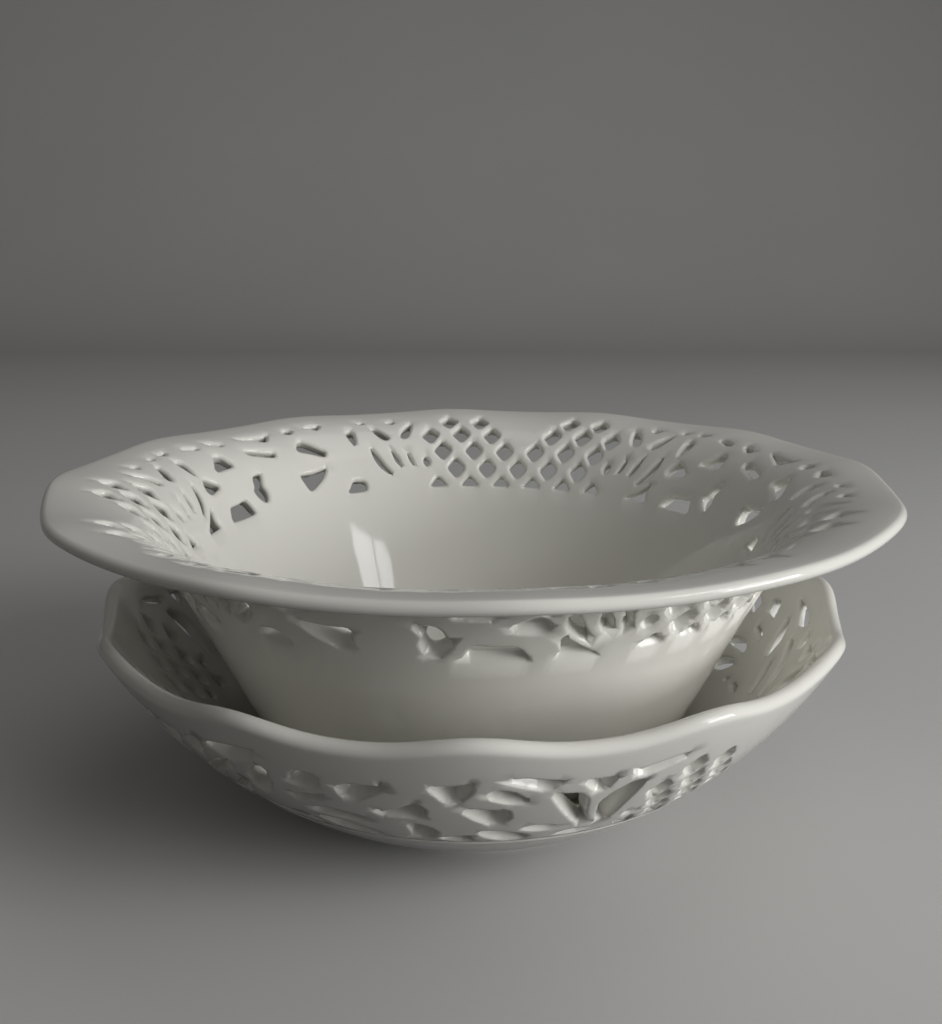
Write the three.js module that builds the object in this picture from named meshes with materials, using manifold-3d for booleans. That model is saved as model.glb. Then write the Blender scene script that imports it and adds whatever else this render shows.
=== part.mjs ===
import * as THREE from 'three';
import Module from 'manifold-3d';

// Two openwork porcelain bowls: a deep flared bowl that stands loose inside a wider, lower one.
// Sizes are millimetres, +Z is up, and the origin lies on the table under the common axis.
// Angles are degrees round that axis, from the back (+Y) towards the right (+X).

// Both bowls
const LOBES = 12; // waves round each rim
const LOBE_CORNER = 0.12; // how far the crests are drawn to a corner, as a share of the wave
const SEAT_GAP = 0.3; // between the upper foot and the floor that carries it

// Lower bowl: foot ring, wall outline, pierced band and wavy rim
const LOWER_FOOT_RADIUS = 46;
const LOWER_FOOT_WIDTH = 5;
const LOWER_FOOT_HEIGHT = 2.7;
const LOWER_FOOT_SLOPE = 15;
const LOWER_FOOT_PULL = 24;
const LOWER_RIM_RADIUS = 113.6;
const LOWER_RIM_HEIGHT = 62.8;
const LOWER_RIM_SLOPE = 63;
const LOWER_RIM_PULL = 30;
const LOWER_WALL = 5;
const LOWER_LIP = 4.3;
const LOWER_PLAIN_BASE = 45.8;
const LOWER_PLAIN_RIM = 9;
const LOWER_LOBE_DEPTH = 1.1;
const LOWER_RIM_WAVE = 1.6;
const LOWER_LOBE_ANGLE = 14.6;
const LOWER_HEART_ANGLES = [14.6, 134.6, 254.6];
const LOWER_STEP_ANGLE = 3.14;
const LOWER_FOOT_SHARE = 0.025;
const LOWER_ROW_SHARE = 0.2;
const LOWER_BESIDE_TURN = 0;
const LOWER_SPRAY_TURN = 0;
const LOWER_SPRAY_LEAN = 0;

// Upper bowl: foot ring, body up to the throat, pierced flare and wavy rim, heights above its own foot
const UPPER_FOOT_INSET = 2; // from the edge of the floor that carries the foot
const UPPER_FOOT_WIDTH = 5;
const UPPER_FOOT_HEIGHT = 2.7;
const UPPER_FOOT_SLOPE = 18;
const UPPER_FOOT_PULL = 25;
const UPPER_THROAT_RADIUS = 88.7;
const UPPER_THROAT_HEIGHT = 64.3;
const UPPER_THROAT_SLOPE = 63;
const UPPER_THROAT_PULL = 40;
const UPPER_FLARE_PULL = 21;
const UPPER_RIM_RADIUS = 125;
const UPPER_RIM_HEIGHT = 92.1;
const UPPER_RIM_SLOPE = 4;
const UPPER_RIM_PULL = 20;
const UPPER_WALL = 4.8;
const UPPER_LIP = 3.5;
const UPPER_PLAIN_THROAT = 4.9;
const UPPER_PLAIN_RIM = 11;
const UPPER_LOBE_DEPTH = 0.7;
const UPPER_RIM_WAVE = 0.4;
const UPPER_LOBE_ANGLE = 10.4;
const UPPER_HEART_ANGLES = [11.6, 131, 249.6]; // set out by hand, not quite a third of a turn apart
const UPPER_STEP_ANGLE = 3.63;
const UPPER_FOOT_SHARE = 0.012;
const UPPER_ROW_SHARE = 0.22;
const UPPER_BESIDE_TURN = 1.3; // degrees by which the holes beside a heart stand wider than listed
const UPPER_SPRAY_TURN = -0.8;
const UPPER_SPRAY_LEAN = -2; // degrees by which the top of a spray is carried on

// Lattice of a heart: strips that cross, with diamond holes between them, the lowest ones cut in half at a
// bowl's foot share of the band. A step angle holds at the middle of the band. Each row of holes, from the foot
// up, lists its first and last hole from the middle, counted in steps of the lattice
const LATTICE_STRIP = 4;
const LATTICE_TOP_SHARE = 1.02; // no hole of a heart is cut higher than this
const LATTICE_STEP_COUNTS = [[1, 5], [0, 4], [1, 5], [2, 6], [3, 5]];
const LEAN_SHARES = [0.15, 0.5]; // a spray leans more and more between these shares of the band

// Glazed porcelain
const GLAZE_COLOUR = 0xe9e7e1;
const GLAZE_ROUGHNESS = 0.12;

// Facets: steps round the axis, and outline steps along each wall curve
const STEPS_AROUND = 48;
const STEPS_ALONG = { lower: [5], upper: [5, 4] };
const LIP_ANGLES = [60, 120];
const FINE_STEPS = 60;
const CUT_MARGIN = 2; // how far a hole's cutter stands clear of both faces of the wall

// Holes beside a heart, one side, the other side mirrored: [degrees from the heart's axis, share of band]
const UPPER_BESIDE_HEART = [
  [[20.2, 0.32], [21.1, 0.24], [22.3, 0.32], [21.5, 0.41]],
  [[24.2, 0.25], [25.5, 0.35], [25.9, 0.5], [24.8, 0.38]],
  [[27.1, 0.24], [29, 0.35], [29.6, 0.54], [28.1, 0.41]],
  [[29.6, 0.17], [31.4, 0.21], [33.2, 0.3], [34.2, 0.42], [34.3, 0.58], [33, 0.45], [31.6, 0.31]],
  [[26.6, 0.66], [24.9, 0.66], [23.9, 0.77], [23.1, 0.91], [24.3, 0.89], [26, 0.78]],
  [[32.6, 0.88], [31.4, 0.87], [28.9, 0.68], [29.6, 0.65], [30.9, 0.66], [32, 0.77]],
  [[36.6, 0.8], [37.4, 0.85], [38.6, 0.79], [38.4, 0.68], [37.7, 0.57], [37.1, 0.63]],
  [[26.4, 1], [28.8, 1], [27.7, 0.915]],
  [[32.8, 1.015], [34.9, 1.01], [34.1, 0.955]],
];
const LOWER_BESIDE_HEART = [
  [[27.5, 0.65], [26.6, 0.78], [24.3, 0.885], [22.2, 0.86], [23, 0.575], [24, 0.22], [25, 0.22], [26.7, 0.44]],
  [[31.6, 1.01], [26.8, 1.01], [28.4, 0.8]],
  [[25.2, 0.985], [23.4, 1.035], [19, 1.05], [15.4, 1.03], [19, 0.98], [23, 0.93]],
  [[31, 0.06], [25.2, 0.06], [27.6, 0.16], [30.2, 0.15]],
  [[21.2, 0.28], [19.8, 0.34], [17.8, 0.28], [19.4, 0.21]],
];

// Holes of the spray of leaves that fills the wall between two hearts
const UPPER_SPRAY = [
  [[30.2, 0.01], [36.8, 0.01], [35.8, 0.1], [37.4, 0.255], [33.6, 0.12]],
  [[41.2, 0.01], [50.8, 0.01], [49.6, 0.19], [43.2, 0.16]],
  [[54.8, 0.09], [53.2, 0.2], [55.2, 0.35], [57.4, 0.43], [59.2, 0.44], [56.8, 0.29], [57, 0.21], [55.9, 0.1]],
  [[68.1, 0.32], [68.4, 0.115], [69.3, 0.105], [73.6, 0.22], [76.4, 0.345], [72, 0.31]],
  [[78.4, 0.015], [84.1, 0.015], [84, 0.14], [80.7, 0.155]],
  [[40.2, 0.385], [41.2, 0.345], [45, 0.37], [45.8, 0.405], [43.1, 0.54]],
  [[48, 0.54], [54, 0.565], [53, 0.73], [51.2, 0.75], [50, 0.65]],
  [[59.1, 0.76], [60.2, 0.76], [66.3, 0.645], [65.6, 0.585], [59.4, 0.685]],
  [[71.5, 0.605], [73, 0.73], [74.1, 0.74], [78.5, 0.53], [77.6, 0.46], [73.8, 0.555]],
  [[40.4, 1.02], [43.8, 1.02], [42.2, 0.95]],
  [[46.4, 0.94], [48, 0.97], [51, 0.91], [49.8, 0.875]],
  [[53, 0.97], [54.6, 0.99], [56.9, 0.9], [55.6, 0.875]],
  [[60.8, 0.98], [68.2, 0.95], [66.4, 0.825], [64.2, 0.89]],
  [[71.5, 0.94], [72.8, 1], [74.3, 0.93], [72.7, 0.865]],
  [[76.6, 0.97], [81, 0.99], [79.3, 0.865]],
];
const LOWER_SPRAY = [
  [[35.2, 0.87], [31.4, 0.85], [29.9, 0.74], [29, 0.5], [26.8, 0.23], [27.8, 0.23], [31.8, 0.53]],
  [[42.2, 1], [39, 1.045], [33.4, 1.03], [36, 0.915], [39, 0.95]],
  [[43.4, 0.79], [42.6, 0.9], [40, 0.875], [37.4, 0.75], [40.6, 0.735]],
  [[50.8, 0.95], [45, 0.95], [45.6, 0.84], [47.3, 0.725], [48.6, 0.75]],
  [[46.7, 0.61], [45.4, 0.65], [40.4, 0.64], [40, 0.5], [42, 0.385], [44.4, 0.47]],
  [[44.4, 0.25], [42.6, 0.275], [39.8, 0.25], [36.4, 0.15], [36, 0.04], [40, 0.04], [43, 0.13]],
  [[37.6, 0.275], [36.4, 0.36], [33.4, 0.34], [31.4, 0.235], [34.6, 0.225]],
  [[50.2, 0.045], [45.6, 0.04], [45.4, 0.15], [47.6, 0.165], [48.8, 0.12]],
  [[54.8, 0.375], [53.4, 0.4], [51.4, 0.325], [50.6, 0.225], [51.8, 0.09], [55.4, 0.05], [54.4, 0.2]],
  [[59.8, 0.525], [52.4, 0.525], [51.5, 0.63], [52.6, 0.75], [55.4, 0.65]],
  [[63, 0.875], [61, 0.95], [55.2, 0.965], [57.6, 0.87], [61.2, 0.725], [62.4, 0.74]],
  [[70, 0.75], [68.8, 0.91], [67.4, 0.99], [64.8, 0.98], [65.8, 0.81]],
  [[72.3, 0.46], [71.4, 0.56], [69.4, 0.64], [65.4, 0.7], [66.6, 0.61], [70, 0.56]],
  [[70.2, 0.35], [69, 0.44], [66.5, 0.495], [63.4, 0.48], [61, 0.425], [60.4, 0.36]],
  [[70.6, 0.235], [68.4, 0.285], [65.2, 0.265], [62.4, 0.19], [60.2, 0.07], [64, 0.06], [68, 0.1]],
  [[82.4, 0.985], [81, 1.025], [71.8, 1.06], [75, 0.925], [78.6, 0.86]],
  [[72.9, 0.89], [75, 0.84], [77.6, 0.69], [78.4, 0.48], [76.2, 0.5], [74.2, 0.65]],
  [[79.4, 0.8], [82, 0.815], [86, 0.71], [89, 0.57], [91.6, 0.35], [90.6, 0.33], [87, 0.5], [84, 0.64]],
  [[79.9, 0.5625], [81.4, 0.55], [84.2, 0.43], [87, 0.25], [85.6, 0.24], [82.6, 0.36], [80.2, 0.47]],
  [[82, 0.11], [79, 0.17], [76, 0.16], [75.4, 0.1], [78.6, 0.08]],
  [[74, 0.07], [73.2, 0.16], [71.6, 0.13], [71.8, 0.07]],
  [[87.2, 0.97], [86, 1.02], [83.6, 1.02], [84.4, 0.9], [86, 0.82], [87, 0.86]],
];

const wasm = await Module();
wasm.setup();
const radians = THREE.MathUtils.degToRad;

// A wall curve in (radius, height) that leaves and arrives at given slopes
function wallCurve(start, startSlope, startPull, end, endSlope, endPull) {
  const handle = (slope, pull) => new THREE.Vector2(Math.cos(radians(slope)), Math.sin(radians(slope)))
    .multiplyScalar(pull);
  const leave = start.clone().add(handle(startSlope, startPull));
  const arrive = end.clone().sub(handle(endSlope, endPull));
  return new THREE.CubicBezierCurve(start, leave, arrive, end);
}

// Points along the outer face of a wall with the direction out of the wall and the length so far
function wallStations(curves, steps) {
  const stations = [];
  curves.forEach((curve, index) => {
    for (let i = index === 0 ? 0 : 1; i <= steps[index]; i += 1) {
      const point = curve.getPoint(i / steps[index]);
      const along = curve.getTangent(i / steps[index]);
      const last = stations[stations.length - 1];
      const length = last ? last.length + point.distanceTo(last.point) : 0;
      stations.push({ point, along, out: new THREE.Vector2(along.y, -along.x), length });
    }
  });
  return stations;
}

// The station at a length along the wall, between the sampled ones
function stationAt(stations, length) {
  const last = stations.length - 2;
  const found = stations.findIndex((station, i) => i === last || stations[i + 1].length >= length);
  const [low, high] = [stations[found], stations[found + 1]];
  const share = (length - low.length) / (high.length - low.length);
  return { point: low.point.clone().lerp(high.point, share), out: low.out.clone().lerp(high.out, share) };
}

// A place on a bowl: the lobes of the rim grow from nothing at the band's foot to full at the rim
function placer(bowl, total) {
  return (radius, height, angle, length) => {
    const grown = THREE.MathUtils.smoothstep(length, bowl.bandStart, total);
    const turn = radians(LOBES * (angle - bowl.lobeAngle));
    const lobe = grown * (LOBE_CORNER * Math.cos(2 * turn) - Math.cos(turn));
    const r = radius + bowl.lobeDepth * lobe;
    const z = bowl.base + height + bowl.rimWave * lobe;
    return [r * Math.sin(radians(angle)), r * Math.cos(radians(angle)), z];
  };
}

// The wall keeps its thickness up to the pierced band and thins from there to the lip
function thicknessAt(bowl, length, total) {
  const grown = THREE.MathUtils.smoothstep(length, bowl.bandStart, total);
  return THREE.MathUtils.lerp(bowl.wall, bowl.lip, grown);
}

// Half a turn of lip from the outer face over to the inner face
function lipLine(rim, thickness) {
  const half = thickness / 2;
  const middle = rim.point.clone().addScaledVector(rim.out, -half);
  return LIP_ANGLES.map((angle) => middle.clone()
    .addScaledVector(rim.out, half * Math.cos(radians(angle)))
    .addScaledVector(rim.along, half * Math.sin(radians(angle))));
}

// The closed section of a bowl from the middle of its underside, up the outer face and down the inner one
function sectionOf(bowl, stations) {
  const total = stations[stations.length - 1].length;
  const inside = bowl.footRadius - bowl.footWidth;
  const foot = [[0, bowl.footHeight], [inside, bowl.footHeight], [inside, 0], [bowl.footRadius, 0]];
  const section = foot.map(([r, z]) => ({ r, z, length: 0 }));
  const add = (point, length) => section.push({ r: point.x, z: point.y, length });
  stations.forEach((station) => add(station.point, station.length));
  lipLine(stations[stations.length - 1], bowl.lip).forEach((point) => add(point, total));
  [...stations].reverse().forEach((station) => {
    const thickness = thicknessAt(bowl, station.length, total);
    add(station.point.clone().addScaledVector(station.out, -thickness), station.length);
  });
  section.push({ r: 0, z: section[section.length - 1].z, length: 0 });
  return section;
}

// The unpierced bowl: its section carried round the axis
function shellMesh(bowl, stations, place) {
  const section = sectionOf(bowl, stations);
  const rings = section.slice(1, -1);
  const positions = [];
  const triangles = [];
  for (let step = 0; step < STEPS_AROUND; step += 1) {
    const angle = bowl.lobeAngle + (360 * step) / STEPS_AROUND;
    rings.forEach(({ r, z, length }) => positions.push(...place(r, z, angle, length)));
  }
  const poleLow = STEPS_AROUND * rings.length;
  const poleHigh = poleLow + 1;
  positions.push(...place(0, section[0].z, 0, 0), ...place(0, section[section.length - 1].z, 0, 0));
  for (let step = 0; step < STEPS_AROUND; step += 1) {
    const here = step * rings.length;
    const next = ((step + 1) % STEPS_AROUND) * rings.length;
    triangles.push(poleLow, here, next);
    for (let i = 0; i < rings.length - 1; i += 1) {
      triangles.push(here + i, here + i + 1, next + i, next + i, here + i + 1, next + i + 1);
    }
    triangles.push(here + rings.length - 1, poleHigh, next + rings.length - 1);
  }
  return { positions, triangles };
}

// Diamond holes of one lattice heart, with strips of one width between them at any size of the wall
function heartHoles(bowl, bandLength, radiusAt) {
  const holes = [];
  LATTICE_STEP_COUNTS.forEach(([first, last], row) => {
    const share = bowl.latticeFoot + row * bowl.latticeRow;
    const radius = radiusAt(share);
    const step = (bowl.latticeStep * radiusAt(0.5)) / radius;
    const cell = new THREE.Vector2(radians(step) * radius, bowl.latticeRow * bandLength);
    const open = 1 - (LATTICE_STRIP / 2) * (cell.length() / (cell.x * cell.y));
    const [wide, tall] = [open * step, open * bowl.latticeRow];
    for (let column = -last; column <= last; column += 2) {
      const angle = column * step;
      if (Math.abs(column) >= first) {
        const top = Math.min(share + tall, LATTICE_TOP_SHARE);
        const upper = [[angle + wide, share], [angle, top], [angle - wide, share]];
        holes.push(row === 0 ? upper : [...upper, [angle, share - tall]]);
      }
    }
  });
  return holes;
}

const mirrored = (hole) => hole.map(([angle, share]) => [-angle, share]);
const moved = (hole, turn, lean) => hole.map(([angle, share]) => (
  [angle + turn + lean * THREE.MathUtils.clamp(THREE.MathUtils.inverseLerp(...LEAN_SHARES, share), 0, 1), share]
));

// A hole's corners in the one order round it that its cutter needs
function counterClockwise(hole) {
  const corners = hole.map(([angle, share]) => new THREE.Vector2(angle, share));
  return THREE.ShapeUtils.isClockWise(corners) ? [...hole].reverse() : hole;
}

// One straight-sided cutter for each hole, from inside the bowl to outside it
function cutterMesh(bowl, fine, place) {
  const total = fine[fine.length - 1].length;
  const bandLength = total - bowl.plainRim - bowl.bandStart;
  const stationOf = (share) => stationAt(fine, bowl.bandStart + share * bandLength);
  const beside = bowl.besideHeart.map((hole) => moved(hole, bowl.besideTurn, 0));
  const pattern = [
    ...heartHoles(bowl, bandLength, (share) => stationOf(share).point.x),
    ...beside, ...beside.map(mirrored),
    ...bowl.spray.map((hole) => moved(hole, bowl.sprayTurn, bowl.sprayLean)),
  ];
  const positions = [];
  const triangles = [];
  const cut = (hole, turn) => {
    const start = positions.length / 3;
    const count = hole.length;
    [-bowl.wall - CUT_MARGIN, CUT_MARGIN].forEach((offset) => hole.forEach(([angle, share]) => {
      const { point, out } = stationOf(share);
      const at = point.clone().addScaledVector(out, offset);
      positions.push(...place(at.x, at.y, turn + angle, bowl.bandStart + share * bandLength));
    }));
    const outline = hole.map(([angle, share]) => new THREE.Vector2(angle, share));
    THREE.ShapeUtils.triangulateShape(outline, []).forEach(([a, b, c]) => {
      triangles.push(start + a, start + b, start + c);
      triangles.push(start + count + c, start + count + b, start + count + a);
    });
    for (let i = 0; i < count; i += 1) {
      const [here, next] = [start + i, start + ((i + 1) % count)];
      triangles.push(next, here, here + count, next, here + count, next + count);
    }
  };
  bowl.heartAngles.forEach((heart) => pattern.forEach((hole) => cut(counterClockwise(hole), heart)));
  return { positions, triangles };
}

function solidOf({ positions, triangles }) {
  return new wasm.Manifold(new wasm.Mesh({
    numProp: 3,
    vertProperties: new Float32Array(positions),
    triVerts: new Uint32Array(triangles),
  }));
}

function bowlMesh(name, bowl) {
  const coarse = wallStations(bowl.curves, bowl.steps);
  const fine = wallStations(bowl.curves, bowl.curves.map(() => FINE_STEPS));
  const shell = solidOf(shellMesh(bowl, coarse, placer(bowl, coarse[coarse.length - 1].length)));
  const cutter = solidOf(cutterMesh(bowl, fine, placer(bowl, fine[fine.length - 1].length)));
  const pierced = shell.subtract(cutter).getMesh();
  const geometry = new THREE.BufferGeometry();
  geometry.setAttribute('position', new THREE.BufferAttribute(pierced.vertProperties, 3));
  geometry.setIndex(new THREE.BufferAttribute(pierced.triVerts, 1));
  geometry.computeVertexNormals();
  const mesh = new THREE.Mesh(geometry, new THREE.MeshStandardMaterial({
    color: GLAZE_COLOUR,
    roughness: GLAZE_ROUGHNESS,
    metalness: 0,
  }));
  mesh.name = name;
  return mesh;
}

const lowerCurves = [wallCurve(
  new THREE.Vector2(LOWER_FOOT_RADIUS, LOWER_FOOT_HEIGHT), LOWER_FOOT_SLOPE, LOWER_FOOT_PULL,
  new THREE.Vector2(LOWER_RIM_RADIUS, LOWER_RIM_HEIGHT), LOWER_RIM_SLOPE, LOWER_RIM_PULL,
)];
const lowerBowl = {
  curves: lowerCurves,
  steps: STEPS_ALONG.lower,
  base: 0,
  footRadius: LOWER_FOOT_RADIUS,
  footWidth: LOWER_FOOT_WIDTH,
  footHeight: LOWER_FOOT_HEIGHT,
  wall: LOWER_WALL,
  lip: LOWER_LIP,
  bandStart: LOWER_PLAIN_BASE,
  plainRim: LOWER_PLAIN_RIM,
  lobeDepth: LOWER_LOBE_DEPTH,
  rimWave: LOWER_RIM_WAVE,
  lobeAngle: LOWER_LOBE_ANGLE,
  heartAngles: LOWER_HEART_ANGLES,
  latticeStep: LOWER_STEP_ANGLE,
  latticeFoot: LOWER_FOOT_SHARE,
  latticeRow: LOWER_ROW_SHARE,
  besideHeart: LOWER_BESIDE_HEART,
  spray: LOWER_SPRAY,
  besideTurn: LOWER_BESIDE_TURN,
  sprayTurn: LOWER_SPRAY_TURN,
  sprayLean: LOWER_SPRAY_LEAN,
};

// The flat floor of the lower bowl ends where its inner face turns up, and the upper foot stands on it
const lowerFloor = LOWER_FOOT_HEIGHT + LOWER_WALL * Math.cos(radians(LOWER_FOOT_SLOPE));
const lowerFloorRadius = LOWER_FOOT_RADIUS - LOWER_WALL * Math.sin(radians(LOWER_FOOT_SLOPE));
const upperFootRadius = lowerFloorRadius - UPPER_FOOT_INSET;

const throat = new THREE.Vector2(UPPER_THROAT_RADIUS, UPPER_THROAT_HEIGHT);
const upperCurves = [
  wallCurve(
    new THREE.Vector2(upperFootRadius, UPPER_FOOT_HEIGHT), UPPER_FOOT_SLOPE, UPPER_FOOT_PULL,
    throat, UPPER_THROAT_SLOPE, UPPER_THROAT_PULL,
  ),
  wallCurve(
    throat, UPPER_THROAT_SLOPE, UPPER_FLARE_PULL,
    new THREE.Vector2(UPPER_RIM_RADIUS, UPPER_RIM_HEIGHT), UPPER_RIM_SLOPE, UPPER_RIM_PULL,
  ),
];
const upperBowl = {
  curves: upperCurves,
  steps: STEPS_ALONG.upper,
  base: lowerFloor + SEAT_GAP,
  footRadius: upperFootRadius,
  footWidth: UPPER_FOOT_WIDTH,
  footHeight: UPPER_FOOT_HEIGHT,
  wall: UPPER_WALL,
  lip: UPPER_LIP,
  bandStart: upperCurves[0].getLength() + UPPER_PLAIN_THROAT,
  plainRim: UPPER_PLAIN_RIM,
  lobeDepth: UPPER_LOBE_DEPTH,
  rimWave: UPPER_RIM_WAVE,
  lobeAngle: UPPER_LOBE_ANGLE,
  heartAngles: UPPER_HEART_ANGLES,
  latticeStep: UPPER_STEP_ANGLE,
  latticeFoot: UPPER_FOOT_SHARE,
  latticeRow: UPPER_ROW_SHARE,
  besideHeart: UPPER_BESIDE_HEART,
  spray: UPPER_SPRAY,
  besideTurn: UPPER_BESIDE_TURN,
  sprayTurn: UPPER_SPRAY_TURN,
  sprayLean: UPPER_SPRAY_LEAN,
};

const bowls = new THREE.Group();
bowls.name = 'openwork_bowls';
bowls.add(bowlMesh('lower_bowl', lowerBowl), bowlMesh('upper_bowl', upperBowl));

export default bowls;
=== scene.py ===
import math

import bpy
import numpy as np
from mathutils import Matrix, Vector, geometry, kdtree, noise


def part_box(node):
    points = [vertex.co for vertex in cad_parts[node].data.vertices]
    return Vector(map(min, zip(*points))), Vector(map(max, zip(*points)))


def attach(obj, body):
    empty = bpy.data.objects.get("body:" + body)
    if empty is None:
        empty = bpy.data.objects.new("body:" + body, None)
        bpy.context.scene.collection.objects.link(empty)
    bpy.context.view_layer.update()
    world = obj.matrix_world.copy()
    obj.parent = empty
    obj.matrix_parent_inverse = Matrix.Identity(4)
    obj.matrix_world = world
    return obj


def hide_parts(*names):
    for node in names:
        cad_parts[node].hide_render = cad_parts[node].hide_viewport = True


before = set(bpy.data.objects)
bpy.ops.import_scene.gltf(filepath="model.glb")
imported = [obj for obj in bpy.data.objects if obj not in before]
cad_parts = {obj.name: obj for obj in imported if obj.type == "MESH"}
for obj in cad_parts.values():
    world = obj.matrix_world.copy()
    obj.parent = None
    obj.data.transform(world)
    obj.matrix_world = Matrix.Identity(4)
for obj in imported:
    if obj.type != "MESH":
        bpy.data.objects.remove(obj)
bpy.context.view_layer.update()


# Lower bowl
# A wide, low bowl of cast white porcelain on a turned foot ring. Its wall is cut through by hand while
# leather hard, three lattice hearts with leaves between them, and the glaze then rounds every edge.
# All lengths of a bowl are millimetres here, and angles run from the back (+Y) towards the right (+X).

lower_wall = (5.0, 4.3)
lower_foot_radius = 46.0
lower_foot_width = 5.0
lower_foot_height = 2.7
lower_foot_slope = 15
lower_foot_pull = 24
lower_rim = Vector((113.6, 62.8))
lower_rim_slope = 63
lower_rim_pull = 30
lower_plain_foot = 45.8
lower_plain_rim = 9.0
lower_groove = ((0.1, 0.5), (0.5, 2.1), (1.0, 2.1), (1.5, 0.4), (2.0, 0))
lower_heart_angle = 14.6
lower_lobe_depth = 1.1
lower_rim_wave = 1.6
metre = 1000
hearts = 3
lobes = 12
lobe_corner = 0.12


def eased(value, low, high):
    """How far a value has come from low to high, as 0 to 1 with a soft start and end."""
    grown = np.clip((value - low) / (high - low), 0, 1)
    return grown * grown * (3 - 2 * grown)


class WallLine:
    """The outer face of a bowl's wall as a line of radius and height, from the foot up to the rim."""

    steps = 60
    margin_below = 0.8
    margin_above = 4.0
    margin_at_lip = 1.0

    def __init__(self, thick, lobe_angle, *spans):
        """Takes the thickness at foot and lip, the angle of one hollow in the rim, and the line's spans.

        A span is a start and an end, each followed by the slope there and how far it pulls the line.
        """
        self.thick = thick
        self.lobe_angle = lobe_angle
        points = []
        for start, leaving, end, arriving in spans:
            handles = start + self.pull(*leaving), end - self.pull(*arriving)
            points += geometry.interpolate_bezier(start, *handles, end, self.steps)[bool(points):]
        self.points = np.array(points)
        steps = np.linalg.norm(np.diff(self.points, axis=0), axis=1)
        self.lengths = np.concatenate(([0.0], np.cumsum(steps)))
        along = np.gradient(self.points, self.lengths, axis=0)
        along /= np.linalg.norm(along, axis=1)[:, None]
        self.out = np.stack((along[:, 1], -along[:, 0]), axis=1)
        growth = np.cumsum(steps / (self.points[1:, 0] + self.points[:-1, 0]) * 2)
        self.spread = np.exp(np.concatenate(([0.0], growth)))

    @staticmethod
    def pull(slope, strength):
        return Vector((math.cos(math.radians(slope)), math.sin(math.radians(slope)))) * strength

    def set_band(self, plain_base, plain_rim):
        """Marks the stretch that is cut through, and scales the flat pattern true at its middle."""
        self.band = (plain_base, self.lengths[-1] - plain_rim)
        self.sheet = (
            self.band[0] - self.margin_below,
            min(self.band[1] + self.margin_above, self.lengths[-1] - self.margin_at_lip),
        )
        middle = sum(self.band) / 2
        radius = np.interp(middle, self.lengths, self.points[:, 0])
        self.spread *= radius / np.interp(middle, self.lengths, self.spread)

    def thickness(self, length):
        """The wall is thick at the foot and thins over the cut stretch to the lip."""
        at_foot, at_lip = self.thick
        return at_foot + (at_lip - at_foot) * eased(length, self.band[0], self.lengths[-1])

    def section(self, length, depth):
        """Radius and height at a length up the wall and a depth in from its outer face."""
        return tuple(
            np.interp(length, self.lengths, self.points[:, i])
            - depth * np.interp(length, self.lengths, self.out[:, i])
            for i in range(2)
        )

    def flat(self, degrees, share):
        """A place on the flat pattern, which lies round the axis like a collar and keeps all shapes."""
        length = self.band[0] + share * (self.band[1] - self.band[0])
        spread = np.interp(length, self.lengths, self.spread)
        return Vector((math.sin(math.radians(degrees)), math.cos(math.radians(degrees)))) * float(spread)

    def unflat(self, spots):
        """Angle and length up the wall of places on the flat pattern."""
        spread = np.hypot(spots[:, 0], spots[:, 1])
        return np.arctan2(spots[:, 0], spots[:, 1]), np.interp(spread, self.spread, self.lengths)


heart_rows = ((1, 5), (0, 4), (1, 5), (2, 6), (3, 5))
heart_top = 1.02


def lattice(wall, step, foot_share, row_share, strip):
    """Diamond holes of one heart, in rows from half ones at its foot, with strips of one width between."""
    holes = []
    low, high = wall.band
    middle_radius = wall.section((low + high) / 2, 0)[0]
    for row, (first, last) in enumerate(heart_rows):
        share = foot_share + row * row_share
        radius = wall.section(low + share * (high - low), 0)[0]
        row_step = step * middle_radius / radius
        cell = Vector((math.radians(row_step) * radius, row_share * (high - low)))
        opening = 1 - strip / 2 * cell.length / (cell.x * cell.y)
        wide, tall = opening * row_step, opening * row_share
        for column in range(-last, last + 1, 2):
            if abs(column) >= first:
                middle = column * row_step
                top = min(share + tall, heart_top)
                corners = [(middle + wide, share), (middle, top), (middle - wide, share)]
                holes.append(corners + [(middle, share - tall)] * (row > 0))
    return holes


def mirrored(holes):
    """Holes beside a heart as they are cut on its other side."""
    return [[(-degrees, share) for degrees, share in hole] for hole in holes]


lean_start = 0.15
lean_rise = 0.35


def turned_by(holes, degrees, lean=0):
    """Holes moved round the wall. A lean takes the higher ones further, so that a spray stands askew."""

    def moved(angle, share):
        return angle + degrees + lean * min(max(share - lean_start, 0) / lean_rise, 1), share

    return [[moved(angle, share) for angle, share in hole] for hole in holes]


corner_share = 0.45
corner_pull = 0.67
corner_steps = 6


def rounded(corners, radius):
    """A closed outline whose corners are cut by curves that start at most a radius away from them."""
    outline = []
    for before, corner, after in zip(corners[-1:] + corners[:-1], corners, corners[1:] + corners[:1]):
        start = corner.lerp(before, min(radius / (before - corner).length, corner_share))
        end = corner.lerp(after, min(radius / (after - corner).length, corner_share))
        handles = start.lerp(corner, corner_pull), end.lerp(corner, corner_pull)
        outline += geometry.interpolate_bezier(start, *handles, end, corner_steps)
    return np.array(outline)


fewest_steps = 8


def evenly(outline, spacing):
    """A closed outline walked in even steps, counter-clockwise, with what else its points hold."""
    closed = np.vstack((outline, outline[:1]))
    turn = np.sum(closed[:-1, 0] * closed[1:, 1] - closed[1:, 0] * closed[:-1, 1])
    closed = closed if turn > 0 else closed[::-1]
    walked = np.concatenate(([0.0], np.cumsum(np.linalg.norm(np.diff(closed[:, :2], axis=0), axis=1))))
    steps = max(fewest_steps, round(walked[-1] / spacing))
    stops = np.linspace(0, walked[-1], steps, endpoint=False)
    return np.stack([np.interp(stops, walked, column) for column in closed.T], axis=1)


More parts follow.
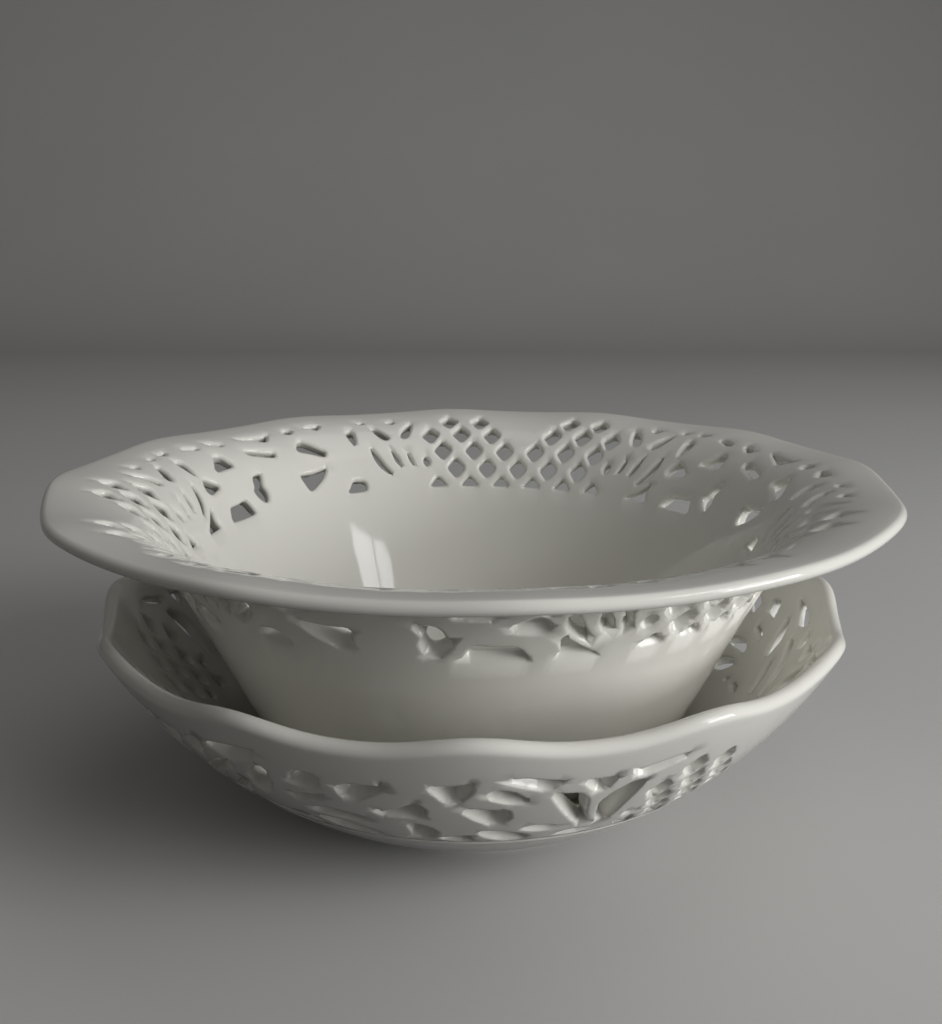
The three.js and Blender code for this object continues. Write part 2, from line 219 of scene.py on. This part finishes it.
def outward(outline):
    """Directions out of a counter-clockwise outline, one for each of its points."""
    along = np.roll(outline, -1, axis=0) - np.roll(outline, 1, axis=0)
    along /= np.linalg.norm(along, axis=1)[:, None]
    return np.stack((along[:, 1], -along[:, 0]), axis=1)


loop_limit = 0.97


def inset(outline, distance):
    """An outline moved inwards by a distance, without the loops that sharp tips would leave."""
    moved = outline - outward(outline) * distance
    near = np.array([min(np.linalg.norm(outline - spot, axis=1)) for spot in moved])
    return moved[near > loop_limit * distance]


def placed(name, data):
    """A new object of the scene that holds a mesh, a lamp or a camera."""
    made = bpy.data.objects.new(name, data)
    bpy.context.collection.objects.link(made)
    return made


turn_steps = 300
edge_spacing = 0.86
edge_slack = 0.04
border_gap = 0.7
grid_spacing = 2.1
merge_distance = 1e-5
least_slant = 0.15
pooled_width = 1.8
# Rings of points round a hole: how many slants and how many roundings they lie out from its inner edge.
edge_rings = ((0.1, 0), (0.35, 0), (0.7, 0), (0.95, 0), (1, 0.25), (1, 0.6), (1, 1), (1, 2.4))
wide_from = 0.5
wide_growth = 1.2
# A point on the edge of a hole is owned by that hole's number, and any other point by one of these.
low_border, high_border, free = -1, -2, -3


def pierced_band(name, wall, holes, corner_radius, narrowing, bevel, outer_round, inner_round):
    """The cut-through stretch of a wall: two faces that round over and meet along the edge of each hole.

    The knife is held level, so the face that it leaves below a hole falls away outwards by the bevel.
    """
    outlines = []
    for hole in holes:
        drawn = rounded([wall.flat(degrees, share) for degrees, share in hole], corner_radius)
        outlines.append(evenly(inset(evenly(drawn, edge_spacing / 3), narrowing), edge_spacing))

    def slant(outline):
        below = -np.sum(outward(outline) * outline, axis=1) / np.linalg.norm(outline, axis=1)
        return least_slant + bevel * (0.5 + 0.5 * below)

    edge_shares = (0, 1 / 3, 2 / 3)
    nearest_edge = kdtree.KDTree(len(edge_shares) * sum(map(len, outlines)))
    for outline in outlines:
        for share in edge_shares:
            for spot in outline + (np.roll(outline, -1, axis=0) - outline) * share:
                nearest_edge.insert((*spot, 0), 0)
    nearest_edge.balance()

    def clear(spots, distance):
        inside, outside = (np.interp(length, wall.lengths, wall.spread) for length in wall.sheet)
        reach = np.hypot(spots[:, 0], spots[:, 1])
        between = (reach > inside + border_gap) & (reach < outside - border_gap)
        near = np.array([nearest_edge.find((x, y, 0))[2] for x, y in spots[:, :2]])
        return spots[between & (near > distance - edge_slack)]

    spots, owners, edges = [], [], []

    def add(new, owner, closed):
        if closed:
            start = sum(map(len, spots))
            edges.extend((start + i, start + (i + 1) % len(new)) for i in range(len(new)))
        spots.append(new)
        owners.append(np.full(len(new), owner))

    widest = least_slant + bevel + outer_round
    turns = np.arange(turn_steps) * 2 * math.pi / turn_steps
    circle = np.stack((np.sin(turns), np.cos(turns)), axis=1)
    for owner, length in zip((low_border, high_border), wall.sheet):
        ring = circle * np.interp(length, wall.lengths, wall.spread)
        add(np.insert(ring, [2, 2], (2 * widest, least_slant), axis=1), owner, True)
    for number, outline in enumerate(outlines):
        add(np.column_stack((outline, np.zeros(len(outline)), slant(outline))), number, True)
    for across, over in edge_rings:
        for outline in outlines:
            width = slant(outline)
            distance = across * width + over * outer_round
            ring = np.column_stack((outline + outward(outline) * distance[:, None], distance, width))
            ring = evenly(ring, edge_spacing * wide_growth) if over > wide_from else ring
            add(clear(ring, ring[:, 2]), free, False)
    reach = wall.spread[-1]
    rows = np.arange(-reach, reach, grid_spacing * math.sqrt(3) / 2)
    columns = np.arange(-reach, reach, grid_spacing)
    grid = [
        (x + grid_spacing / 2 * (i % 2), y, 2 * widest, least_slant)
        for i, y in enumerate(rows) for x in columns
    ]
    add(clear(np.array(grid), widest + grid_spacing / 2), free, False)

    spots, owners = np.concatenate(spots), np.concatenate(owners)
    spots, distances, slants = spots[:, :2], spots[:, 2], spots[:, 3]
    sheet = geometry.delaunay_2d_cdt([Vector(spot) for spot in spots], edges, [], 0, merge_distance)
    triangles, origins = sheet[2:4]
    source = np.array([origin[0] for origin in origins])
    corners = np.array([source[list(triangle)] for triangle in triangles])
    owned = owners[corners]
    filled = np.all(owned == owned[:, :1], axis=1) & (owned[:, 0] >= low_border)
    corners = corners[~filled]

    angles, lengths = wall.unflat(spots)
    thickness = wall.thickness(lengths)
    outer_rise = 1 - np.clip((distances - slants) / outer_round, 0, 1)
    inner_rise = 1 - np.clip(distances / inner_round, 0, 1)
    cut_face = np.clip(1 - distances / slants, 0, 1) * (thickness - inner_round - outer_round)
    depth_outside = outer_round * (1 - np.sqrt(1 - outer_rise ** 2)) + cut_face
    depth_inside = thickness - inner_round * (1 - np.sqrt(1 - inner_rise ** 2))
    places = []
    for depth in (depth_outside, depth_inside):
        radius, height = wall.section(lengths, depth)
        places.append(np.stack((radius * np.sin(angles), radius * np.cos(angles), height), axis=1))
    inner_corners = np.where(owners[corners] >= 0, corners, corners + len(spots))
    faces = np.concatenate((corners[:, ::-1], inner_corners))
    mesh = bpy.data.meshes.new(name)
    mesh.from_pydata(np.concatenate(places) / metre, [], faces.tolist())
    edge = mesh.attributes.new("edge", "FLOAT", "POINT")
    edge.data.foreach_set("value", np.tile(np.clip(1 - distances / pooled_width, 0, 1), 2))
    return placed(name, mesh)


def turned(name, lines):
    """Plain parts of a bowl: lines of radius and height, spun round the axis as on a wheel."""
    mesh = bpy.data.meshes.new(name)
    points, edges = [], []
    for line in lines:
        edges += [(len(points) + i, len(points) + i + 1) for i in range(len(line) - 1)]
        points += [(0, radius / metre, height / metre) for radius, height in line]
    mesh.from_pydata(points, edges, [])
    plain = placed(name, mesh)
    bpy.ops.object.select_all(action="DESELECT")
    plain.select_set(True)
    bpy.context.view_layer.objects.active = plain
    bpy.ops.object.mode_set(mode="EDIT")
    bpy.ops.mesh.select_all(action="SELECT")
    bpy.ops.mesh.spin(steps=turn_steps, angle=2 * math.pi, center=(0, 0, 0), axis=(0, 0, 1))
    bpy.ops.mesh.select_all(action="SELECT")
    bpy.ops.mesh.remove_doubles(threshold=1e-6)
    bpy.ops.object.mode_set(mode="OBJECT")
    return plain


body_steps = 15
foot_round = 0.7
foot_cut = 0.2
foot_waist = 0.15
foot_waist_share = 0.6
foot_fillet = 1.2
foot_fillet_start = (0.4, 0.5)
under_gap = 6
under_rings = 7
floor_gap = 4
floor_rings = 9
rim_rings = 5
lip_steps = 10


def plain_lines(wall, foot_width, foot_height, groove=()):
    """Sections of what isn't cut through: body and foot, the inside down to the floor, and the lip.

    A groove is turned into the body just below the cut stretch, as pairs of a length down and a depth.
    """
    low, high = wall.sheet
    down, depth = np.array(groove).reshape(-1, 2).T
    body = np.linspace(low, 0, body_steps + 1)
    body = np.concatenate((body[:1], low - down, body[1:]))
    outer_body = list(zip(*wall.section(body, np.concatenate(([0], depth, np.zeros(body_steps))))))
    inner_body = list(zip(*wall.section(body, wall.thickness(body))))
    outside = outer_body[-1][0]
    inside = outside - foot_width
    fillet_in, fillet_down = foot_fillet_start
    ring = [
        (outside - foot_waist, foot_height * foot_waist_share), (outside, foot_round),
        (outside - foot_cut, foot_cut), (outside - foot_round, 0), (outside - foot_width / 2, 0),
        (inside + foot_round, 0), (inside + foot_cut, foot_cut), (inside, foot_round),
        (inside - fillet_in, foot_height - fillet_down), (inside - foot_fillet, foot_height),
    ]
    under = [(radius, foot_height) for radius in np.linspace(inside - under_gap, 0, under_rings)]
    floor_radius, floor_height = inner_body[-1]
    floor = [(radius, floor_height) for radius in np.linspace(floor_radius - floor_gap, 0, floor_rings)]
    rim = np.linspace(high, wall.lengths[-1], rim_rings)
    half = wall.thick[1] / 2
    middle = np.array(wall.section(wall.lengths[-1], half))
    out = wall.out[-1]
    along = np.array((-out[1], out[0]))
    over = [
        tuple(middle + half * (out * math.cos(turn) + along * math.sin(turn)))
        for turn in np.linspace(0, math.pi, lip_steps + 1)[1:-1]
    ]
    outer_rim = list(zip(*wall.section(rim, 0)))
    inner_rim = list(zip(*wall.section(rim, wall.thickness(rim))))
    return [outer_body + ring + under, inner_body + floor, outer_rim + over + inner_rim[::-1]]


uneven_waves = 2.5
uneven_height = 40
uneven_radius = 0.25
uneven_rise = 0.2


def finished_bowl(name, band, plain, wall, lobe_depth, rim_wave, base):
    """Joins the parts of a bowl into one skin, presses the waves into its rim and sets it at its height."""
    bpy.ops.object.select_all(action="DESELECT")
    band.select_set(True)
    plain.select_set(True)
    bpy.context.view_layer.objects.active = band
    bpy.ops.object.join()
    bpy.ops.object.mode_set(mode="EDIT")
    bpy.ops.mesh.select_all(action="SELECT")
    bpy.ops.mesh.remove_doubles(threshold=5e-6)
    bpy.ops.mesh.delete_loose()
    bpy.ops.mesh.select_all(action="SELECT")
    bpy.ops.mesh.normals_make_consistent(inside=False)
    bpy.ops.mesh.faces_shade_smooth()
    bpy.ops.object.mode_set(mode="OBJECT")
    band.name = band.data.name = name
    places = np.empty(len(band.data.vertices) * 3)
    band.data.vertices.foreach_get("co", places)
    x, y, z = places.reshape(-1, 3).T * metre
    grown = eased(z, wall.section(wall.band[0], 0)[1], wall.points[-1, 1])
    angle = np.arctan2(x, y)
    turn = lobes * (angle - math.radians(wall.lobe_angle))
    lobe = grown * (lobe_corner * np.cos(2 * turn) - np.cos(turn))
    uneven = grown * [
        noise.noise((uneven_waves * math.sin(a), uneven_waves * math.cos(a), height / uneven_height))
        for a, height in zip(angle, z)
    ]
    radius = np.hypot(x, y) + lobe_depth * lobe + uneven_radius * uneven
    z += rim_wave * lobe + uneven_rise * uneven + base
    places = np.stack((radius * np.sin(angle), radius * np.cos(angle), z), axis=1) / metre
    band.data.vertices.foreach_set("co", places.ravel())
    band.data.update()
    return band


class Tone:
    """A socket of a material's nodes. Sums of tones and numbers add the maths nodes that they need."""

    def __init__(self, tree, socket=None):
        self.tree = tree
        self.socket = socket

    def node(self, kind, settings, inputs, output=0):
        """Adds a node, sets it up, gives its sockets values or links, and returns one of its outputs."""
        made = self.tree.nodes.new(kind)
        for setting, value in settings.items():
            setattr(made, setting, value)
        for socket, value in inputs.items():
            if isinstance(value, Tone):
                self.tree.links.new(value.socket, made.inputs[socket])
            else:
                made.inputs[socket].default_value = value
        return Tone(self.tree, made.outputs[output])

    def clouds(self, scale, detail):
        """A cloudy tone from 0 to 1, where this tone is the place on the piece."""
        return self.node("ShaderNodeTexNoise", {}, {"Vector": self, "Scale": scale, "Detail": detail})

    def blend(self, first, second):
        """A colour that goes from the first to the second one as this tone goes from 0 to 1."""
        return self.node("ShaderNodeMix", {"data_type": "RGBA"}, {"Factor": self, 6: first, 7: second}, 2)

    def maths(self, operation, first, second):
        return self.node("ShaderNodeMath", {"operation": operation}, {0: first, 1: second})

    def __add__(self, other):
        return self.maths("ADD", self, other)

    def __sub__(self, other):
        return self.maths("SUBTRACT", self, other)

    def __rsub__(self, other):
        return self.maths("SUBTRACT", other, self)

    def __mul__(self, other):
        return self.maths("MULTIPLY", self, other)

    __radd__ = __add__
    __rmul__ = __mul__


def glazed_porcelain(name, foot_bottom):
    """Clear glossy glaze over white porcelain: cooler where it pools in the cuts, bare under the foot."""
    warm_white = (0.84, 0.82, 0.76, 1)
    cool_white = (0.80, 0.795, 0.745, 1)
    pooled_glaze = (0.74, 0.745, 0.69, 1)
    pooled_share = 0.7
    bare_clay = (0.74, 0.70, 0.63, 1)
    bare_up_to = 0.0004
    glazed_from = 0.0009
    clay_grain = 0.3
    clay_roughness = 0.55
    glaze_roughness = 0.04
    glaze_variation = 0.05
    material = bpy.data.materials.new(name)
    material.use_nodes = True
    tree = material.node_tree
    shader = tree.nodes["Principled BSDF"]
    start = Tone(tree)
    place = start.node("ShaderNodeTexCoord", {}, {}, "Object")
    height = start.node("ShaderNodeSeparateXYZ", {}, {0: place}, 2)
    edge = start.node("ShaderNodeAttribute", {"attribute_name": "edge"}, {}, "Fac")
    cloud = place.clouds(scale=24, detail=3)
    ripple = place.clouds(scale=95, detail=2)
    grain = place.clouds(scale=900, detail=2)
    bare = 1 - start.node(
        "ShaderNodeMapRange", {"interpolation_type": "SMOOTHSTEP"},
        {0: height - foot_bottom, 1: bare_up_to, 2: glazed_from},
    )
    body = cloud.blend(cool_white, warm_white)
    pooled = (edge * cloud * pooled_share).blend(body, pooled_glaze)
    colour = (bare * (1 - clay_grain + clay_grain * grain)).blend(pooled, bare_clay)
    roughness = glaze_roughness + glaze_variation * cloud + bare * clay_roughness
    bump = start.node(
        "ShaderNodeBump", {}, {"Strength": 0.25, "Distance": 0.0002, "Height": ripple + bare * grain}
    )
    for socket, tone in (("Base Color", colour), ("Roughness", roughness), ("Normal", bump)):
        tree.links.new(tone.socket, shader.inputs[socket])
    shader.inputs["IOR"].default_value = 1.5
    return material


lower_line = WallLine(
    lower_wall, lower_heart_angle,
    (
        Vector((lower_foot_radius, lower_foot_height)), (lower_foot_slope, lower_foot_pull),
        lower_rim, (lower_rim_slope, lower_rim_pull),
    ),
)
lower_line.set_band(lower_plain_foot, lower_plain_rim)
lower_leaf = [
    [(35.2, 0.87), (31.4, 0.85), (29.9, 0.74), (29, 0.5), (26.8, 0.23), (27.8, 0.23), (31.8, 0.53)],
]
lower_beside_heart = [
    [
        (27.5, 0.65), (26.6, 0.78), (24.3, 0.885), (22.2, 0.86),
        (23, 0.575), (24, 0.22), (25, 0.22), (26.7, 0.44),
    ],
    [(31.6, 1.01), (26.8, 1.01), (28.4, 0.8)],
    [(25.2, 0.985), (23.4, 1.035), (19, 1.05), (15.4, 1.03), (19, 0.98), (23, 0.93)],
    [(31, 0.06), (25.2, 0.06), (27.6, 0.16), (30.2, 0.15)],
    [(21.2, 0.28), (19.8, 0.34), (17.8, 0.28), (19.4, 0.21)],
]
lower_spray = [
    [(42.2, 1), (39, 1.045), (33.4, 1.03), (36, 0.915), (39, 0.95)],
    [(43.4, 0.79), (42.6, 0.9), (40, 0.875), (37.4, 0.75), (40.6, 0.735)],
    [(50.8, 0.95), (45, 0.95), (45.6, 0.84), (47.3, 0.725), (48.6, 0.75)],
    [(46.7, 0.61), (45.4, 0.65), (43, 0.63), (40.4, 0.64), (40, 0.5), (42, 0.385), (44.4, 0.47)],
    [(44.4, 0.25), (42.6, 0.275), (39.8, 0.25), (36.4, 0.15), (36, 0.04), (40, 0.04), (43, 0.13)],
    [(37.6, 0.275), (36.4, 0.36), (33.4, 0.34), (31.4, 0.235), (34.6, 0.225)],
    [(50.2, 0.045), (45.6, 0.04), (45.4, 0.15), (47.6, 0.165), (48.8, 0.12)],
    [(54.8, 0.375), (53.4, 0.4), (51.4, 0.325), (50.6, 0.225), (51.8, 0.09), (55.4, 0.05), (54.4, 0.2)],
    [(59.8, 0.525), (52.4, 0.525), (51.5, 0.63), (52.6, 0.75), (55.4, 0.65)],
    [(63, 0.875), (61, 0.95), (55.2, 0.965), (57.6, 0.87), (61.2, 0.725), (62.4, 0.74)],
    [(70, 0.75), (68.8, 0.91), (67.4, 0.99), (64.8, 0.98), (65.8, 0.81)],
    [(72.3, 0.46), (71.4, 0.56), (69.4, 0.64), (65.4, 0.7), (66.6, 0.61), (70, 0.56)],
    [
        (70.2, 0.35), (69, 0.44), (66.5, 0.495), (63.4, 0.48),
        (61, 0.425), (60.4, 0.36), (63.4, 0.345), (67, 0.35),
    ],
    [(70.6, 0.235), (68.4, 0.285), (65.2, 0.265), (62.4, 0.19), (60.2, 0.07), (64, 0.06), (68, 0.1)],
    [(82.4, 0.985), (81, 1.025), (76, 1.04), (71.8, 1.06), (75, 0.925), (78.6, 0.86)],
    [(72.9, 0.89), (75, 0.84), (77.6, 0.69), (78.4, 0.48), (76.2, 0.5), (74.2, 0.65)],
    [
        (79.4, 0.8), (82, 0.815), (86, 0.71), (89, 0.57), (91.6, 0.35),
        (90.6, 0.33), (87, 0.5), (84, 0.64), (80.6, 0.73),
    ],
    [(79.9, 0.5625), (81.4, 0.55), (84.2, 0.43), (87, 0.25), (85.6, 0.24), (82.6, 0.36), (80.2, 0.47)],
    [(82, 0.11), (79, 0.17), (76, 0.16), (75.4, 0.1), (78.6, 0.08)],
    [(74, 0.07), (73.2, 0.16), (71.6, 0.13), (71.8, 0.07)],
    [(87.2, 0.97), (86, 1.02), (83.6, 1.02), (84.4, 0.9), (86, 0.82), (87, 0.86)],
]
lower_pattern = lower_leaf + lower_beside_heart + mirrored(lower_beside_heart) + lower_spray
lower_lattice = lattice(lower_line, step=3.14, foot_share=0.025, row_share=0.2, strip=3.0)
lower_holes = []
for heart in range(hearts):
    lower_holes += turned_by(lower_lattice + lower_pattern, lower_heart_angle + heart * 360 / hearts)
lower_bowl = finished_bowl(
    "lower_bowl_glazed",
    pierced_band(
        "lower_band", lower_line, lower_holes,
        corner_radius=1.6, narrowing=0.8, bevel=1.8, outer_round=0.5, inner_round=1.3,
    ),
    turned("lower_plain", plain_lines(lower_line, lower_foot_width, lower_foot_height, lower_groove)),
    lower_line, lower_lobe_depth, lower_rim_wave, base=0,
)
lower_bowl.data.materials.append(glazed_porcelain("lower_glaze", 0))
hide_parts("lower_bowl")
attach(lower_bowl, "lower")


# Upper bowl
# A deep bowl of the same cast porcelain, which stands loose on the floor of the lower one. Only its wide
# flare is cut through, with finer hearts and leaves, and its foot ring keeps it clear of the lower wall.

upper_wall = (4.8, 3.5)
upper_foot = Vector((42.7, 2.7))
upper_foot_width = 5.0
upper_foot_slope = 18
upper_foot_pull = 25
upper_throat = Vector((88.7, 64.3))
upper_throat_slope = 63
upper_throat_pull = 40
upper_flare_pull = 21
upper_rim = Vector((125.0, 92.1))
upper_rim_slope = 4
upper_rim_pull = 20
upper_plain_throat = 4.9
upper_plain_rim = 11.0
upper_heart_angles = (11.6, 131.0, 249.6)
upper_beside_turn = 1.3
upper_spray_turn = -0.8
upper_spray_lean = -2
upper_lobe_angle = 10.4
upper_lobe_depth = 0.7
upper_rim_wave = 0.4
upper_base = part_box("upper_bowl")[0].z * metre

upper_line = WallLine(
    upper_wall, upper_lobe_angle,
    (
        upper_foot, (upper_foot_slope, upper_foot_pull),
        upper_throat, (upper_throat_slope, upper_throat_pull),
    ),
    (
        upper_throat, (upper_throat_slope, upper_flare_pull),
        upper_rim, (upper_rim_slope, upper_rim_pull),
    ),
)
upper_line.set_band(upper_line.lengths[WallLine.steps - 1] + upper_plain_throat, upper_plain_rim)
upper_beside_heart = [
    [(20.2, 0.32), (21.1, 0.24), (22.3, 0.32), (21.5, 0.41)],
    [(24.2, 0.25), (25.5, 0.35), (25.9, 0.5), (24.8, 0.38)],
    [(27.1, 0.24), (29, 0.35), (29.6, 0.54), (28.1, 0.41)],
    [(29.6, 0.17), (31.4, 0.21), (33.2, 0.3), (34.2, 0.42), (34.3, 0.58), (33, 0.45), (31.6, 0.31)],
    [(26.6, 0.66), (24.9, 0.66), (23.9, 0.77), (23.1, 0.91), (24.3, 0.89), (26, 0.78)],
    [(32.6, 0.88), (31.4, 0.87), (28.9, 0.68), (29.6, 0.65), (30.9, 0.66), (32, 0.77)],
    [(36.6, 0.8), (37.4, 0.85), (38.6, 0.79), (38.4, 0.68), (37.7, 0.57), (37.1, 0.63)],
    [(26.4, 1), (28.8, 1), (27.7, 0.915)],
    [(32.8, 1.015), (34.9, 1.01), (34.1, 0.955)],
]
upper_spray = [
    [(30.2, 0.01), (36.8, 0.01), (35.8, 0.1), (37.4, 0.255), (33.6, 0.12)],
    [(41.2, 0.01), (50.8, 0.01), (49.6, 0.19), (47.4, 0.17), (43.2, 0.16)],
    [
        (54.8, 0.09), (53.5, 0.15), (53.2, 0.24), (54.4, 0.28), (55.2, 0.35), (56.2, 0.41), (57.4, 0.43),
        (59.2, 0.44), (57.8, 0.355), (56.8, 0.29), (57, 0.21), (55.9, 0.1),
    ],
    [(68.1, 0.32), (68.4, 0.115), (69.3, 0.105), (73.6, 0.22), (76.4, 0.345), (72, 0.31)],
    [(78.4, 0.015), (84.1, 0.015), (84, 0.14), (80.7, 0.155), (79.6, 0.07)],
    [(40.2, 0.385), (41.2, 0.345), (45, 0.37), (45.8, 0.405), (43.1, 0.54), (41.5, 0.47)],
    [(48, 0.54), (54, 0.565), (53, 0.73), (51.2, 0.75), (50, 0.65)],
    [(59.1, 0.76), (60.2, 0.76), (66.3, 0.645), (65.6, 0.585), (59.4, 0.685)],
    [(71.5, 0.605), (73, 0.73), (74.1, 0.74), (78.5, 0.53), (77.6, 0.46), (73.8, 0.555)],
    [(40.4, 1.02), (43.8, 1.02), (42.2, 0.95)],
    [(46.4, 0.94), (48, 0.97), (51, 0.91), (49.8, 0.875)],
    [(53, 0.97), (54.6, 0.99), (56.9, 0.9), (55.6, 0.875)],
    [(60.8, 0.98), (68.2, 0.95), (66.4, 0.825), (64.2, 0.89)],
    [(71.5, 0.94), (72.8, 1), (74.3, 0.93), (72.7, 0.865)],
    [(76.6, 0.97), (81, 0.99), (79.3, 0.865)],
]
upper_lattice = lattice(upper_line, step=3.63, foot_share=0.012, row_share=0.22, strip=3.6)
upper_leaves = turned_by(upper_beside_heart, upper_beside_turn)
upper_heart = upper_lattice + upper_leaves + mirrored(upper_leaves)
upper_holes = []
for heart_angle in upper_heart_angles:
    upper_holes += turned_by(upper_heart, heart_angle)
    upper_holes += turned_by(upper_spray, heart_angle + upper_spray_turn, upper_spray_lean)
upper_bowl = finished_bowl(
    "upper_bowl_glazed",
    pierced_band(
        "upper_band", upper_line, upper_holes,
        corner_radius=1.5, narrowing=0.2, bevel=1.8, outer_round=0.5, inner_round=1.5,
    ),
    turned("upper_plain", plain_lines(upper_line, upper_foot_width, upper_foot.y)),
    upper_line, upper_lobe_depth, upper_rim_wave, upper_base,
)
upper_bowl.data.materials.append(glazed_porcelain("upper_glaze", upper_base / metre))
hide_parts("upper_bowl")
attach(upper_bowl, "upper")


# Table and backdrop
# A plain pale sheet of paper that runs back under the bowls and turns up behind them in a wide curve.
# It is pale where it is seen or mirrored and dark to all other light, so that it throws little back.

sheet_half_width = 3.0
sheet_front = -2.0
sheet_bend = 1.4
sheet_bend_steps = 12
sheet_radius = 0.8
sheet_top = 2.4
paper_light = (0.63, 0.625, 0.62, 1)
paper_shade = (0.57, 0.57, 0.565, 1)
paper_unseen = (0.08, 0.08, 0.08, 1)
paper_roughness = 0.8
bend = [
    (sheet_bend + sheet_radius * math.sin(turn), sheet_radius * (1 - math.cos(turn)))
    for turn in np.linspace(0, math.pi / 2, sheet_bend_steps + 1)
]
profile = [(sheet_front, 0.0)] + bend + [(sheet_bend + sheet_radius, sheet_top)]
sheet_mesh = bpy.data.meshes.new("table_sheet")
sheet_mesh.from_pydata(
    [(x, y, z) for y, z in profile for x in (-sheet_half_width, sheet_half_width)], [],
    [(2 * i, 2 * i + 1, 2 * i + 3, 2 * i + 2) for i in range(len(profile) - 1)],
)
table_sheet = placed("table_sheet", sheet_mesh)
for face in sheet_mesh.polygons:
    face.use_smooth = True
paper = bpy.data.materials.new("pale_paper")
paper.use_nodes = True
paper_tone = Tone(paper.node_tree)
paper_place = paper_tone.node("ShaderNodeTexCoord", {}, {}, "Object")
paper_cloud = paper_place.clouds(scale=3, detail=4)
paper_seen, paper_mirrored, paper_behind = (
    paper_tone.node("ShaderNodeLightPath", {}, {}, ray)
    for ray in ("Is Camera Ray", "Is Glossy Ray", "Is Transmission Ray")
)
paper_pale = paper_cloud.blend(paper_shade, paper_light)
paper_colour = (paper_seen + paper_mirrored + paper_behind).blend(paper_unseen, paper_pale)
paper_shader = paper.node_tree.nodes["Principled BSDF"]
paper.node_tree.links.new(paper_colour.socket, paper_shader.inputs["Base Color"])
paper_shader.inputs["Roughness"].default_value = paper_roughness
sheet_mesh.materials.append(paper)


# Light and camera
# Two small panes on the right are what the glaze mirrors. Behind them a broad soft box gives most of the
# light, with a low one beside it for the outer walls, a weak one overhead and a dim warm room.
# The camera looks down at the rims from close by, at the photograph's angle.

bowl_middle = (0, 0, 0.05)
window_distance = 1.3
window = Vector((0.70, -0.46, 0.54)) * window_distance
window_beside = Vector((0.46, 0.70, 0)).normalized()
window_above = Vector((-0.35, 0.23, 0.78)).normalized()
pane_drop = 0.045
pane_height = 0.24
pane_power = 19
key_distance = 1.7
room_colour = (1.0, 0.98, 0.95, 1)
room_strength = 0.12


def soft_box(name, place, aim, width, height, power):
    """A rectangular soft light at a place, turned towards the point that it lights."""
    lamp = bpy.data.lights.new(name, "AREA")
    lamp.shape = "RECTANGLE"
    lamp.size = width
    lamp.size_y = height
    lamp.energy = power
    box = placed(name, lamp)
    box.location = place
    box.rotation_euler = (Vector(aim) - Vector(place)).to_track_quat("-Z", "Y").to_euler()
    return box


for pane, aside, width in (("near", -0.07, 0.16), ("far", 0.124, 0.19)):
    middle = window + window_beside * aside - window_above * pane_drop
    power = pane_power * width * pane_height
    soft_box("window_" + pane, middle, middle - window, width, pane_height, power)
key_place = Vector((0.72, -0.46, 0.42)) * key_distance
key = soft_box("key", key_place, bowl_middle, width=1.2, height=1.0, power=9)
key.visible_glossy = False
soft_box("side", (1.15, -0.5, 0.2), bowl_middle, width=0.6, height=0.5, power=8)
soft_box("overhead", (0.3, 0.3, 1.6), bowl_middle, width=1.2, height=1.0, power=2)
world = bpy.data.worlds.new("dim_room")
world.use_nodes = True
room = world.node_tree.nodes["Background"]
room.inputs["Color"].default_value = room_colour
room.inputs["Strength"].default_value = room_strength
bpy.context.scene.world = world

rim_height = 0.1046
camera_distance = 0.34
camera_tilt = math.radians(11.83)
camera = bpy.data.cameras.new("camera")
camera.lens = 38.2
camera.shift_y = -0.0436
camera.clip_start = 0.01
viewer = placed("camera", camera)
viewer.location = (
    0, -camera_distance * math.cos(camera_tilt), rim_height + camera_distance * math.sin(camera_tilt),
)
viewer.rotation_euler = (math.pi / 2 - camera_tilt, 0, 0)
bpy.context.scene.camera = viewer
bpy.context.scene.view_settings.view_transform = "Standard"
